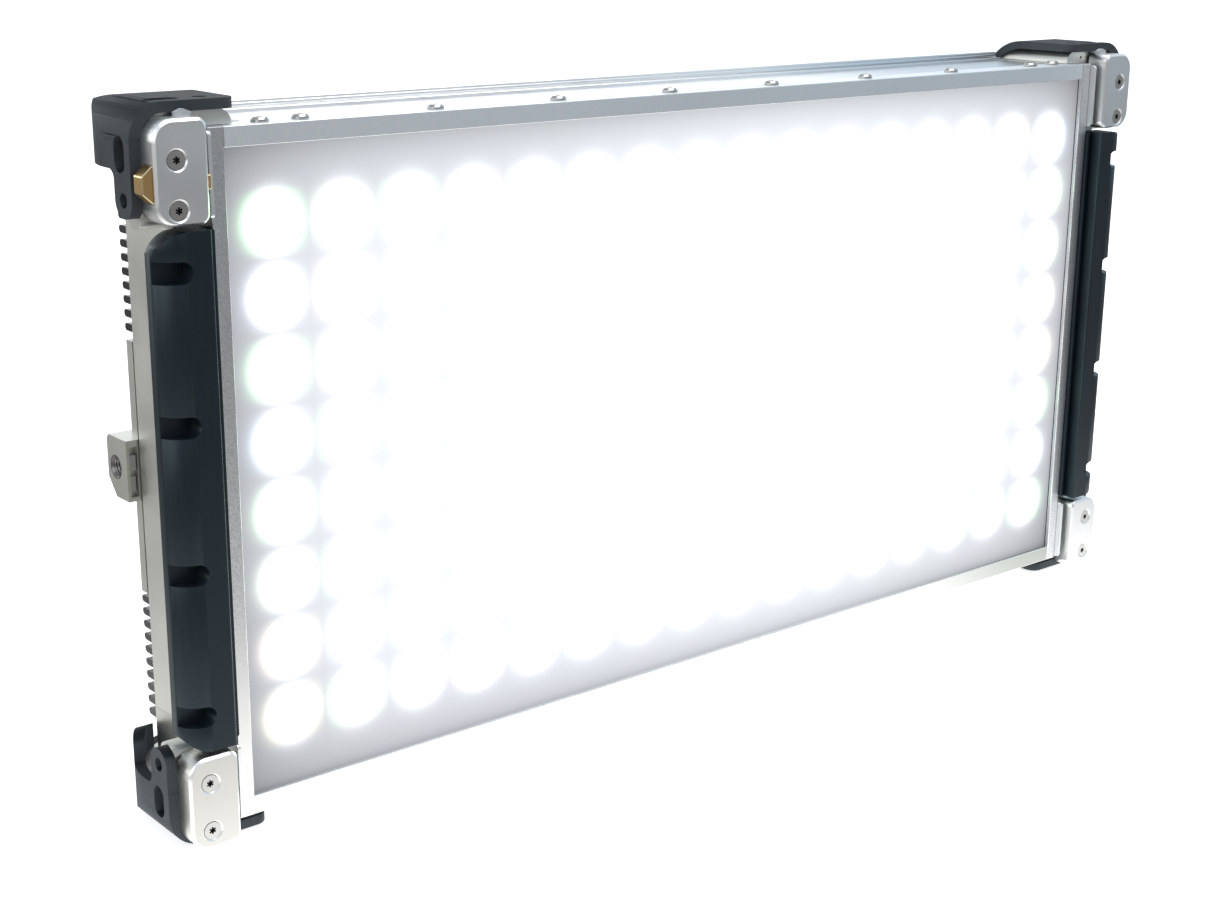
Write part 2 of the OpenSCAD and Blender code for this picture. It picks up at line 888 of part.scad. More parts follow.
module yoke_rail_left() {
    color("darkgray") place() corner(-1, 1) yoke_rail();
}

module yoke_rail_right() {
    color("darkgray") place() yoke_rail();
}

// threaded steel bushes with a countersunk mouth
module yoke_inserts() {
    color("dimgray") place() sides() difference() {
        rod_x(lug_in, lug_out, lug_hole_y, 0, 5.5);
        rod_x(lug_in - 1, lug_out + 1, lug_hole_y, 0, lug_hole_r);
        translate([lug_out - 1, lug_hole_y, 0]) rotate([0, 90, 0])
            cylinder(h = 1.01, r1 = lug_hole_r, r2 = lug_hole_r + 1.01);
    }
}

module yoke_screws() {
    color("silver") place() sides() for (z = [-1, 1])
        translate([yoke_screw_x, yoke_rear, z * yoke_screw_z]) rotate([-90, 0, 0])
            button_screw(9);
}

module lug_pads() {
    color("gray") place() sides() {
        block(side_face + 1.2, lug_out - 1.8, sink_base_rear + 1, sink_base_rear + 4, 0, 7);
        block(side_face + 1.2, lug_out - 1.8, sink_base_rear + 2, sink_base_rear + 4, -10, -3);
    }
}

// ---- electronics housing ----

module housing_outline(grow, r) {
    outline(-housing_half_w - grow, -housing_half_h - grow, housing_half_w + grow,
        housing_half_h + grow, [r, r, r, r]);
}

panel_screw_x = panel_half_w - 6;
panel_screw_z = panel_half_h - 6;
housing_screw_x = housing_half_w - 9;
housing_screw_z = housing_half_h - 9;

module rear_housing() {
    color("dimgray") place() difference() {
        along_y(housing_front, housing_rear) housing_outline(0, 8);
        along_y(housing_front - 1, housing_rear - housing_wall) housing_outline(-housing_wall, 5.5);
        block(-panel_half_w + 10, panel_half_w - 10, housing_rear - 5, housing_rear + 1,
            -panel_half_h + 9, panel_half_h - 9);
        for (x = concat(socket_x, [inlet_x]))
            rod_y(x, housing_rear - 5, housing_rear + 1, -18, socket_r + 0.1);
        for (x = [-panel_screw_x, panel_screw_x], z = [-panel_screw_z, panel_screw_z])
            rod_y(x, housing_rear - 5, housing_rear + 1, z, m3_shank_r + clear);
        // cooling slots
        for (k = [0:11], s = [-1, 1])
            along_y(housing_rear - 5, housing_rear + 1)
                slot_outline(s * (132 + k * 8), 22, s * (132 + k * 8), 40, 1.5);
        for (x = [-housing_screw_x, housing_screw_x], z = [-housing_screw_z, housing_screw_z])
            rod_y(x, housing_rear - 5, housing_rear + 1, z, m3_shank_r + clear);
    }
}

module housing_screws() {
    color("silver") place() {
        for (x = [-housing_screw_x, housing_screw_x], z = [-housing_screw_z, housing_screw_z])
            translate([x, housing_rear, z]) rotate([-90, 0, 0]) small_screw(6);
        for (x = [-panel_screw_x, panel_screw_x], z = [-panel_screw_z, panel_screw_z])
            translate([x, panel_rear, z]) rotate([-90, 0, 0]) small_screw(6);
    }
}

module driver_board() {
    color("darkgreen") place() {
        block(-225, -120, 56, 57.6, -46, 46);
        for (k = [0:4]) block(-215 + k * 20, -203 + k * 20, 57.6, 66, -40, -22);
        for (k = [0:3]) rod_y(-210 + k * 24, 57.6, 70, 12, 6);
        block(-220, -130, 57.6, 64, 26, 42);
    }
}

module power_module() {
    color("silver") place() {
        block(105, 225, 53, 72, -4, 50);
        for (k = [0:6]) block(110 + k * 16, 118 + k * 16, 72, 76, 2, 44);
    }
}

module control_board() {
    board = housing_rear - 13;
    color("darkgreen") place() {
        block(-98, 98, board, board + 1.6, -33, 33);
        // display module and its frame
        block(window_x - 40, window_x + 40, board + 1.6, housing_rear, window_z - 20, window_z + 18);
        // switches under the buttons
        for (x = button_x) block(x - 3, x + 3, board + 1.6, housing_rear - 5.4, button_z - 3, button_z + 3);
        // encoder bodies, each with a bore for its shaft
        for (x = knob_x) difference() {
            block(x - 7, x + 7, board + 1.6, housing_rear - 0.5, knob_z - 7, knob_z + 7);
            rod_y(x, board + 4, housing_rear + 1, knob_z, shaft_r + clear);
        }
    }
}

module control_panel() {
    color("#303236") place() difference() {
        along_y(housing_rear, panel_rear)
            outline(-panel_half_w, -panel_half_h, panel_half_w, panel_half_h, [5, 5, 5, 5]);
        block(window_x - window_w / 2 + 3, window_x + window_w / 2 - 3, housing_rear - 1,
            panel_rear + 1, window_z - window_h / 2 + 3, window_z + window_h / 2 - 3);
        along_y(panel_rear - 1.2, panel_rear + 1)
            outline(window_x - window_w / 2 - 0.1, window_z - window_h / 2 - 0.1,
                window_x + window_w / 2 + 0.1, window_z + window_h / 2 + 0.1, [2, 2, 2, 2]);
        for (x = knob_x) rod_y(x, housing_rear - 1, panel_rear + 1, knob_z, shaft_r + 0.5);
        for (x = button_x) rod_y(x, housing_rear - 1, panel_rear + 1, button_z, button_r + 0.3);
        block(switch_x - 10.5, switch_x + 10.5, housing_rear - 1, panel_rear + 1,
            switch_z - 7, switch_z + 7);
        for (x = [-panel_screw_x, panel_screw_x], z = [-panel_screw_z, panel_screw_z])
            rod_y(x, housing_rear - 1, panel_rear + 1, z, m3_shank_r + clear);
    }
}

module display_window() {
    color("midnightblue") place() along_y(panel_rear - 1.2, panel_rear)
        outline(window_x - window_w / 2, window_z - window_h / 2, window_x + window_w / 2,
            window_z + window_h / 2, [2, 2, 2, 2]);
}

// knob and shaft in one, with a fluted rim
module knob(x) {
    y0 = panel_rear + 0.6;
    color("#202224") place() {
        rod_y(x, housing_rear - 8, y0 + 1, knob_z, shaft_r);
        difference() {
            along_y(y0, y0 + knob_h) difference() {
                translate([x, knob_z]) circle(knob_r);
                for (a = [0:20:340])
                    translate([x, knob_z]) rotate(a) translate([knob_r + 0.35, 0]) circle(0.9, $fn = 16);
            }
            block(x - 0.5, x + 0.5, y0 + knob_h - 0.5, y0 + knob_h + 1, knob_z + 4, knob_z + 9);
        }
    }
}

module knob_left() {
    knob(knob_x[0]);
}

module knob_right() {
    knob(knob_x[1]);
}

// button with a retaining flange behind the panel
module button(x) {
    color("dimgray") place() {
        rod_y(x, housing_rear - 1, panel_rear + 2.2, button_z, button_r);
        rod_y(x, housing_rear - 3, housing_rear - 0.4, button_z, button_r + 1.5);
    }
}

module button_1() {
    button(button_x[0]);
}

module button_2() {
    button(button_x[1]);
}

module button_3() {
    button(button_x[2]);
}

module switch_frame() {
    color("#18191b") place() difference() {
        union() {
            along_y(panel_rear, panel_rear + 1.4)
                outline(switch_x - 13, switch_z - 9.5, switch_x + 13, switch_z + 9.5,
                    [1.5, 1.5, 1.5, 1.5]);
            block(switch_x - 10.4, switch_x + 10.4, housing_rear - 9, panel_rear + 0.5,
                switch_z - 6.9, switch_z + 6.9);
        }
        block(switch_x - 9, switch_x + 9, housing_rear - 7, panel_rear + 5,
            switch_z - 5.2, switch_z + 5.2);
        rod_z(switch_x, panel_rear - 1, switch_z - 6.4, switch_z + 6.4, pin_r + clear);
    }
}

rocker_tilt = 9;

// rocker: a shallow vee that turns on a pin along Z
module power_rocker() {
    color("#a02020") place() translate([switch_x, panel_rear - 1, switch_z])
        rotate([0, 0, -rocker_tilt]) along_z(-4.9, 4.9) {
            polygon([[-8.3, 1.2], [8.3, 1.2], [8.3, 3.0], [0, 1.9], [-8.3, 3.0]]);
            polygon([[-5, 1.3], [-2, -3], [2, -3], [5, 1.3]]);
        }
    color("#a02020") place()
        rod_z(switch_x, panel_rear - 1, switch_z - 6.2, switch_z + 6.2, pin_r);
}

// round panel sockets: a flange, a barrel and a recessed contact face
module socket(x, pins) {
    z0 = -18;
    difference() {
        union() {
            along_y(housing_rear, housing_rear + 2.4)
                outline(x - 13, z0 - 15.5, x + 13, z0 + 15.5, [3, 3, 3, 3]);
            rod_y(x, housing_rear - 18, housing_rear + 0.5, z0, socket_r);
        }
        rod_y(x, housing_rear + 2.4 - recess_depth, housing_rear + 5, z0, recess_r);
        for (s = [-1, 1])
            rod_y(x + s * 9.5, housing_rear + 1.2, housing_rear + 5, z0 + s * 12, 1.6);
    }
    for (k = [0:pins - 1])
        translate([x, 0, z0]) rotate([0, k * 360 / pins, 0])
            rod_y(4.5, housing_rear + 1.9 - recess_depth, housing_rear - 1.5, 0, 0.9);
}

module power_inlet() {
    color("#222222") place() socket(inlet_x, 4);
}

module data_sockets() {
    color("#222222") place() for (x = socket_x) socket(x, 5);
}

bezel_left();
bezel_right();
bezel_top();
bezel_bottom();
bezel_screws();
diffuser_panel();
diffuser_gasket();
diffuser_frame();
reflector_cups();
led_boards();
led_emitters();
heat_spreader();
side_extrusion_left();
side_extrusion_right();
top_extrusion();
bottom_extrusion();
heat_sink_upper();
heat_sink_lower();
rear_plate();
corner_block_tl();
corner_block_tr();
corner_block_bl();
corner_block_br();
bumper_tl();
bumper_tr();
bumper_bl();
bumper_br();
bumper_screws();
accessory_rail_left();
accessory_rail_right();
bracket_tl();
bracket_tr();
bracket_bl();
bracket_br();
bracket_screws();
guide_plates();
accessory_latch();
latch_spring();
yoke_rail_left();
yoke_rail_right();
yoke_inserts();
yoke_screws();
lug_pads();
rear_housing();
housing_screws();
driver_board();
power_module();
control_board();
control_panel();
display_window();
knob_left();
knob_right();
button_1();
button_2();
button_3();
switch_frame();
power_rocker();
power_inlet();
data_sockets();
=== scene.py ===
import math

import bpy
from mathutils import Euler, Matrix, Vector


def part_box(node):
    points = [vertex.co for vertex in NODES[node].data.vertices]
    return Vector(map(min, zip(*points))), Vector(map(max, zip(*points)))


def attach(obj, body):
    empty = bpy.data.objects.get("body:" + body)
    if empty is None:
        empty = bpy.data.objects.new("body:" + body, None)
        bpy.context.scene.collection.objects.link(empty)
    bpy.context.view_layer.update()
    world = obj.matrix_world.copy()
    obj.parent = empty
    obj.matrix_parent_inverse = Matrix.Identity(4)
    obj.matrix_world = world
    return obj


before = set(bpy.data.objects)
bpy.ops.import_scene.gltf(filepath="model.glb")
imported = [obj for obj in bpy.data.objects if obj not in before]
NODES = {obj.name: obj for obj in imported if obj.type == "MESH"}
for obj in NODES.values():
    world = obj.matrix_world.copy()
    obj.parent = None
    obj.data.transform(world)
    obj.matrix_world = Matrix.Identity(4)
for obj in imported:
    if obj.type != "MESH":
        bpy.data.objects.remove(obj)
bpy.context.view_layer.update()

MM = 0.001
ROOT = "chassis"

# ---------------------------------------------------------------- places taken from the frame

BEZEL_LO, BEZEL_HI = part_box("bezel_left")
FACE_Y = BEZEL_LO.y
CENTRE_Z = (BEZEL_LO.z + BEZEL_HI.z) / 2
CUPS_LO, CUPS_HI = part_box("reflector_cups")
LED_COLUMNS = 16
LED_ROWS = 8
PITCH_X = (CUPS_HI.x - CUPS_LO.x) / LED_COLUMNS
PITCH_Z = (CUPS_HI.z - CUPS_LO.z) / LED_ROWS

# light on and from the scene: levels, and one reach in metres
FLOOR_GLOW = 1.3
FLOOR_GLOW_REACH = 0.22
FLOOR_FAR = 0.24
DIFFUSER_LEVEL = 0.93
ROOM_FRONT = (0.42, 0.43, 0.45)
ROOM_BEHIND = (1.9, 1.9, 1.88)
ROOM_RIGHT = (0.58, 0.78, 0.94)
ROOM_CEILING = (0.62, 0.68, 0.74)

# the diffuser's pattern, in metres
OPENING_HALF_W = -BEZEL_LO.x - 0.007
OPENING_HALF_H = (BEZEL_HI.z - BEZEL_LO.z) / 2 - 0.0087
CELL_RADIUS = 0.015
CELL_BLUR = 0.0023

# places on the back, in millimetres as place() takes them
PANEL_FACE = 86.5
INK = (PANEL_FACE - 0.05, PANEL_FACE + 0.06)
KNOBS = (("knob_left", 62), ("knob_right", 92))
KNOB_Z = 14
BUTTON_X = (-72, -46, -20)
BUTTON_Z = -26
BUTTON_FACE = 88.7
SOCKET_Z = -18
PIN_CIRCLE = 4.5
BUSH_Y = 62
THREAD_PITCH = 1.25
ROCKER_X = 62
ROCKER_Y = 85.5
ROCKER_Z = -24
ROCKER_TILT = math.radians(-9)
ROCKER_SLOPE = 1.1 / 8.3
ROCKER_VALLEY = 1.9
MARK_SINK = 0.15
MARK_DEPTH = 0.25


def place(x, y, z):
    """A point given in millimetres from the panel's centre, y from the bezel's face."""
    return Vector((x * MM, FACE_Y + y * MM, CENTRE_Z + z * MM))


# ---------------------------------------------------------------- camera, light and floor

def make_camera():
    data = bpy.data.cameras.new("camera")
    data.lens = 56.9
    data.sensor_width = 36
    data.clip_start = 0.01
    cam = bpy.data.objects.new("camera", data)
    cam.location = place(-663, -706.6, 241.3)
    cam.rotation_euler = Euler([math.radians(a) for a in (74.0, -0.42, -39.48)])
    bpy.context.scene.collection.objects.link(cam)
    bpy.context.scene.camera = cam


def mix_nodes(tree, factor, a, b, shader=False):
    """Mixes two colours, or two shaders, by a factor."""
    node = tree.nodes.new("ShaderNodeMixShader" if shader else "ShaderNodeMix")
    if not shader:
        node.data_type = "RGBA"
    sockets = (0, 1, 2) if shader else ("Factor", "A", "B")
    for socket, value in zip(sockets, (factor, a, b)):
        if isinstance(value, tuple):
            node.inputs[socket].default_value = (*value, 1)
        else:
            tree.links.new(value, node.inputs[socket])
    return node.outputs[0 if shader else "Result"]


def map_range(tree, value, low, high, to_low=0.0, to_high=1.0, smooth=True):
    node = tree.nodes.new("ShaderNodeMapRange")
    if smooth:
        node.interpolation_type = "SMOOTHSTEP"
    ends = {"From Min": low, "From Max": high, "To Min": to_low, "To Max": to_high}
    for key, number in ends.items():
        node.inputs[key].default_value = number
    tree.links.new(value, node.inputs["Value"])
    return node.outputs[0]


def make_world():
    """White to the camera. To everything else a room: dim in front, bright behind the panel, and
    cooler towards the right."""
    scene = bpy.context.scene
    scene.view_settings.view_transform = "Standard"
    world = bpy.data.worlds.new("studio")
    scene.world = world
    world.use_nodes = True
    tree = world.node_tree
    tree.nodes.clear()
    coord = tree.nodes.new("ShaderNodeTexCoord")
    split = tree.nodes.new("ShaderNodeSeparateXYZ")
    tree.links.new(coord.outputs["Generated"], split.inputs[0])
    backward = map_range(tree, split.outputs["Y"], -0.5, 0.55)
    rightward = map_range(tree, split.outputs["X"], 0.63, 0.78)
    upward = map_range(tree, split.outputs["Z"], 0.1, 0.6)
    depth = mix_nodes(tree, backward, ROOM_FRONT, ROOM_BEHIND)
    room = mix_nodes(tree, rightward, depth, ROOM_RIGHT)
    ceiling = mix_nodes(tree, upward, room, ROOM_CEILING)
    path = tree.nodes.new("ShaderNodeLightPath")
    seen = mix_nodes(tree, path.outputs["Is Camera Ray"], ceiling, (1.0, 1.0, 1.0))
    back = tree.nodes.new("ShaderNodeBackground")
    tree.links.new(seen, back.inputs[0])
    out = tree.nodes.new("ShaderNodeOutputWorld")
    tree.links.new(back.outputs[0], out.inputs[0])


def area_light(name, spot, aim, size, power, colour=(1, 1, 1)):
    data = bpy.data.lights.new(name, "AREA")
    data.shape = "RECTANGLE"
    data.size, data.size_y = size
    data.energy = power
    data.color = colour
    lamp = bpy.data.objects.new(name, data)
    lamp.location = spot
    lamp.rotation_euler = (Vector(aim) - Vector(spot)).to_track_quat("-Z", "Y").to_euler()
    bpy.context.scene.collection.objects.link(lamp)


def make_floor():
    """Pale paper, with a painted pool of light that only the object sees: bright near the panel's
    lit face and dim further away.
    """
    bpy.ops.mesh.primitive_grid_add(x_subdivisions=4, y_subdivisions=4, size=30)
    floor = bpy.context.object
    floor.name = "floor"
    floor.location.z = -0.0005
    m = Shader("floor_paper", (0.90, 0.90, 0.90), roughness=0.9)
    m.set(**{"Emission Color": (1, 1, 1, 1), "Emission Strength": 0.62})
    split = m.new("SeparateXYZ")
    m.link(m.coord, split.inputs[0])
    sideways = m.math("ABSOLUTE", split.outputs["X"])
    beyond = m.math("MAXIMUM", m.math("SUBTRACT", sideways, 0.32), 0.0)
    ahead = m.math("SUBTRACT", split.outputs["Y"], FACE_Y)
    away = m.math("SQRT", m.math("ADD", m.math("POWER", beyond, 2), m.math("POWER", ahead, 2)))
    # painted pool of light: emission that falls off with distance from the panel's face
    falloff = m.math("POWER", math.e, m.math("DIVIDE", away, -FLOOR_GLOW_REACH))
    glow = m.new("Emission")
    strength = m.math("ADD", m.math("MULTIPLY", falloff, FLOOR_GLOW), FLOOR_FAR)
    m.link(strength, glow.inputs["Strength"])
    path = m.new("LightPath")
    both = mix_nodes(m.tree, path.outputs["Is Camera Ray"], glow.outputs[0], m.bsdf.outputs[0],
                     shader=True)
    m.link(both, m.tree.nodes["Material Output"].inputs["Surface"])
    floor.data.materials.append(m.mat)


# ---------------------------------------------------------------- material helpers

class Shader:
    """A Principled material and short calls for the nodes that feed it."""

    def __init__(self, name, colour, **values):
        self.mat = bpy.data.materials.new(name)
        self.mat.use_nodes = True
        self.mat.diffuse_color = (*colour, 1)
        self.tree = self.mat.node_tree
        self.bsdf = self.tree.nodes["Principled BSDF"]
        self.bsdf.inputs["Base Color"].default_value = (*colour, 1)
        self.coord = self.new("TexCoord").outputs["Object"]
        self.set(**{k.capitalize(): v for k, v in values.items()})

    def new(self, kind, **settings):
        node = self.tree.nodes.new("ShaderNode" + kind)
        for k, v in settings.items():
            setattr(node, k, v)
        return node

    def set(self, **values):
        for k, v in values.items():
            self.bsdf.inputs[k].default_value = v

    def link(self, a, b):
        self.tree.links.new(a, b)

    def feed(self, socket, source):
        self.link(source, self.bsdf.inputs[socket])

    def stretched(self, scale):
        node = self.new("Mapping")
        node.inputs["Scale"].default_value = scale
        self.link(self.coord, node.inputs["Vector"])
        return node.outputs[0]

    def noise(self, per_metre, detail=2.0, stretch=None, rough=0.5):
        node = self.new("TexNoise")
        node.inputs["Scale"].default_value = per_metre
        node.inputs["Detail"].default_value = detail
        node.inputs["Roughness"].default_value = rough
        self.link(self.stretched(stretch) if stretch else self.coord, node.inputs["Vector"])
        return node.outputs[0]

    def cells(self, per_metre, feature):
        node = self.new("TexVoronoi", feature=feature)
        node.inputs["Scale"].default_value = per_metre
        self.link(self.coord, node.inputs["Vector"])
        return node.outputs["Distance"]

    def math(self, operation, a, b=None, clamp=False):
        node = self.new("Math", operation=operation, use_clamp=clamp)
        for k, v in enumerate((a, b)):
            if v is None:
                continue
            if isinstance(v, (int, float)):
                node.inputs[k].default_value = v
            else:
                self.link(v, node.inputs[k])
        return node.outputs[0]

    def span(self, value, low, high, to_low=0.0, to_high=1.0, smooth=False):
        return map_range(self.tree, value, low, high, to_low, to_high, smooth)

    def blend(self, factor, a, b):
        return mix_nodes(self.tree, factor, a, b)

    def bump(self, height, depth, strength=1.0):
        node = self.new("Bump")
        node.inputs["Strength"].default_value = strength
        node.inputs["Distance"].default_value = depth
        self.link(height, node.inputs["Height"])
        self.feed("Normal", node.outputs[0])


def blasted_aluminium(name, dark, light, roughness, depth=0.00004):
    """Bead-blasted and anodised: faint flecks a few tenths of a millimetre across."""
    m = Shader(name, light, metallic=1.0)
    fleck = m.noise(1700, 3, rough=0.6)
    slow = m.noise(9, 3)
    m.feed("Base Color", m.blend(m.span(fleck, 0.36, 0.66), dark, light))
    m.feed("Roughness", m.math("ADD", m.span(fleck, 0.3, 0.7, roughness + 0.05, roughness - 0.05),
                               m.span(slow, 0.35, 0.65, -0.02, 0.03)))
    m.bump(fleck, depth, 0.5)
    return m.mat


def satin_metal(name, colour, roughness, mottling=0.06, streak=None, depth=0.00001, metallic=1.0):
    """Machined or anodised metal with faint mottling and, along one axis, fine lines."""
    m = Shader(name, colour, metallic=metallic)
    slow = m.noise(35, 4)
    fine = m.noise(2200, 2, stretch=streak) if streak else m.noise(2600, 1)
    dark = tuple(c * (1 - 2 * mottling) for c in colour)
    m.feed("Base Color", m.blend(m.span(m.math("MULTIPLY", slow, fine), 0.12, 0.4), dark, colour))
    m.feed("Roughness", m.math("ADD", m.span(slow, 0.3, 0.7, roughness - 0.03, roughness + 0.05),
                               m.span(fine, 0.3, 0.7, -0.04, 0.04)))
    m.bump(fine, depth, 0.5)
    return m.mat


def moulded(name, colour, roughness, grain=1500, depth=0.00005, sheen=0.0):
    """Moulded rubber or plastic with a fine spark-eroded grain and dusty high spots."""
    m = Shader(name, colour)
    m.set(**{"Specular IOR Level": 0.4, "Sheen Weight": sheen, "Sheen Roughness": 0.5})
    fine = m.noise(grain, 3)
    slow = m.noise(28, 4)
    pale = tuple(min(1, c * 1.35 + 0.006) for c in colour)
    dust = m.math("ADD", slow, m.math("MULTIPLY", fine, 0.5))
    m.feed("Base Color", m.blend(m.span(dust, 0.6, 0.95), colour, pale))
    m.feed("Roughness", m.span(slow, 0.3, 0.7, roughness - 0.05, roughness + 0.06))
    m.bump(fine, depth, 0.6)
    return m.mat


def tint_gloss(mat, colour, level):
    """Colours the highlight, as dark anodising and dusty rubber do."""
    shader = mat.node_tree.nodes["Principled BSDF"]
    shader.inputs["Specular Tint"].default_value = (*colour, 1)
    shader.inputs["Specular IOR Level"].default_value = level


def overlay(mat, factor, colour, roughness):
    """Lays a second colour and roughness over a material where the factor is 1, for polished faces
    and for painted light and shade.
    """
    tree = mat.node_tree
    shader = tree.nodes["Principled BSDF"]
    finish_and_painted_light = (("Base Color", "RGBA", (*colour, 1)), ("Roughness", "FLOAT", roughness))
    for key, kind, value in finish_and_painted_light:
        mix = tree.nodes.new("ShaderNodeMix")
        mix.data_type = kind
        tree.links.new(factor, mix.inputs["Factor"])
        tree.links.new(shader.inputs[key].links[0].from_socket, mix.inputs["A"])
        mix.inputs["B"].default_value = value
        tree.links.new(mix.outputs["Result"], shader.inputs[key])


def part_of_coord(tree, output, axis):
    """One component of the object's own coordinates or of its surface direction."""
    coord = tree.nodes.new("ShaderNodeTexCoord")
    split = tree.nodes.new("ShaderNodeSeparateXYZ")
    tree.links.new(coord.outputs[output], split.inputs[0])
    return split.outputs[axis]


def polish_chamfers(mat, colour, roughness):
    """Brightens the faces that lie between the front and the sides."""
    tree = mat.node_tree
    size = tree.nodes.new("ShaderNodeMath")
    size.operation = "ABSOLUTE"
    tree.links.new(part_of_coord(tree, "Normal", "Y"), size.inputs[0])
    ramp = tree.nodes.new("ShaderNodeValToRGB")
    ramp.color_ramp.interpolation = "CONSTANT"
    ramp.color_ramp.elements.new(0.5)
    for element, (spot, level) in zip(ramp.color_ramp.elements, ((0, 0), (0.45, 1), (0.88, 0))):
        element.position = spot
        element.color = (level, level, level, 1)
    tree.links.new(size.outputs[0], ramp.inputs[0])
    overlay(mat, ramp.outputs[0], colour, roughness)


def painted_light_fade(mat, output, axis, low, high, colour, roughness):
    """Paints light and shade into a material: brings in another colour and roughness between two
    values of a coordinate, or of a facing direction.
    """
    tree = mat.node_tree
    overlay(mat, map_range(tree, part_of_coord(tree, output, axis), low, high), colour, roughness)


def powder_coat(name, colour, roughness, grain=900, depth=0.00008):
    """Textured paint: fine orange peel and slow changes of tone."""
    m = Shader(name, colour)
    peel = m.cells(grain, "SMOOTH_F1")
    slow = m.noise(22, 4)
    dark = tuple(c * 0.82 for c in colour)
    m.feed("Base Color", m.blend(m.span(slow, 0.35, 0.65), dark, colour))
    m.feed("Roughness", m.span(peel, 0.1, 0.7, roughness + 0.05, roughness - 0.05))
    m.bump(peel, depth, 0.5)
    return m.mat


def lit_diffuser():
    """Opal sheet over the LED cells: a soft-edged glow over each cell, a faint tint round its
    rim, and a lavender haze that dims towards the edges of the opening."""
    m = Shader("opal_sheet", (0.14, 0.14, 0.15), roughness=0.45)
    split = m.new("SeparateXYZ")
    m.link(m.coord, split.inputs[0])
    x = split.outputs["X"]
    z = m.math("SUBTRACT", split.outputs["Z"], CENTRE_Z)

    def nearest_cell(position, pitch, count):
        index = m.math("FLOOR", m.math("DIVIDE", position, pitch))
        index = m.math("MINIMUM", m.math("MAXIMUM", index, -count / 2), count / 2 - 1)
        offset = m.math("SUBTRACT", position, m.math("MULTIPLY", m.math("ADD", index, 0.5), pitch))
        return index, offset

    column, across = nearest_cell(x, PITCH_X, LED_COLUMNS)
    row, upward = nearest_cell(z, PITCH_Z, LED_ROWS)
    radius = m.math("SQRT", m.math("ADD", m.math("POWER", across, 2), m.math("POWER", upward, 2)))

    def decay(distance, reach):
        return m.math("POWER", math.e, m.math("DIVIDE", distance, -reach))

    beyond_rim = m.math("SUBTRACT", radius, CELL_RADIUS)
    rim = m.math("MINIMUM", m.math("MULTIPLY", decay(beyond_rim, CELL_BLUR), 0.36), 2.0)

    # the haze rises from each edge of the opening towards the middle
    def rise(position, sign, half, edge, gain, reach):
        outward = m.math("MULTIPLY", position, sign)
        inside = m.math("MAXIMUM", m.math("SUBTRACT", half, outward), 0.0)
        return m.math("SUBTRACT", edge + gain, m.math("MULTIPLY", decay(inside, reach), gain))

    from_left = rise(x, -1, OPENING_HALF_W, 0.45, 0.62, 0.035)
    from_right = rise(x, 1, OPENING_HALF_W, 0.50, 0.57, 0.030)
    from_top = rise(z, 1, OPENING_HALF_H, 0.56, 0.62, 0.024)
    from_foot = rise(z, -1, OPENING_HALF_H, 0.50, 0.62, 0.030)
    spread = m.math("DIVIDE", m.math("SUBTRACT", x, 0.05), 0.17)
    middle = m.math("POWER", math.e, m.math("MULTIPLY", m.math("POWER", spread, 2), -1))
    level = m.math("MULTIPLY", m.math("MINIMUM", from_left, from_right),
                   m.math("MULTIPLY", m.math("MINIMUM", from_top, from_foot),
                          m.span(middle, 0, 1, 0.79, 1.0)))
    haze = m.blend(m.noise(9, 2), (0.955, 0.965, 1.05), (0.95, 0.99, 1.02))

    # one tint for each cell, as small differences in how far each colour spreads
    tints = ((1.30, 1.20, 0.90), (1.50, 1.25, 1.10), (1.15, 1.35, 1.10), (1.10, 1.55, 1.05),
             (1.00, 1.20, 1.45), (1.10, 1.90, 1.15), (1.05, 1.10, 1.35), (1.10, 2.00, 1.10))
    turn = m.math("ADD", m.math("ADD", row, LED_ROWS / 2),
                  m.math("MULTIPLY", m.math("ADD", column, LED_COLUMNS / 2), 3))
    ramp = m.new("ValToRGB")
    ramp.color_ramp.interpolation = "CONSTANT"
    while len(ramp.color_ramp.elements) < len(tints):
        ramp.color_ramp.elements.new(0.5)
    for k, (element, colour) in enumerate(zip(ramp.color_ramp.elements, tints)):
        element.position = k / len(tints)
        element.color = (*colour, 1)
    m.link(m.math("FRACT", m.math("DIVIDE", m.math("ADD", turn, 0.5), len(tints))), ramp.inputs[0])
    centred = m.span(m.math("ABSOLUTE", upward), 0.011, 0.016, 1.0, 0.0, smooth=True)
    tint = m.blend(centred, (1.12, 1.14, 1.16), ramp.outputs[0])

    def scaled(colour, factor):
        node = m.new("VectorMath", operation="SCALE")
        m.link(colour, node.inputs[0])
        m.link(factor, node.inputs["Scale"])
        return node.outputs[0]

    total = m.new("VectorMath", operation="ADD")
    m.link(scaled(haze, level), total.inputs[0])
    m.link(scaled(tint, rim), total.inputs[1])
    m.feed("Emission Color", total.outputs[0])
    m.set(**{"Emission Strength": DIFFUSER_LEVEL})
    fine = m.noise(1400, 2)
    m.feed("Roughness", m.span(fine, 0.3, 0.7, 0.42, 0.5))
    m.bump(fine, 0.00002, 0.3)
    return m.mat


def glowing(name, colour, strength):
    """A lit surface with a fine grain."""
    m = Shader(name, colour, roughness=0.4)
    grain = m.noise(4000, 1)
    m.feed("Emission Color", m.blend(grain, tuple(c * 0.85 for c in colour), colour))
    m.set(**{"Emission Strength": strength})
    return m.mat


def circuit_board(name, colour):
    """Solder mask, paler over a net of tracks."""
    m = Shader(name, colour, roughness=0.4)
    tracks = m.cells(260, "DISTANCE_TO_EDGE")
    dark = tuple(c * 0.6 for c in colour)
    pale = tuple(min(1, c * 2) for c in colour)
    m.feed("Base Color", m.blend(m.span(tracks, 0.03, 0.06), pale, dark))
    m.bump(tracks, 0.00003, 0.3)
    return m.mat


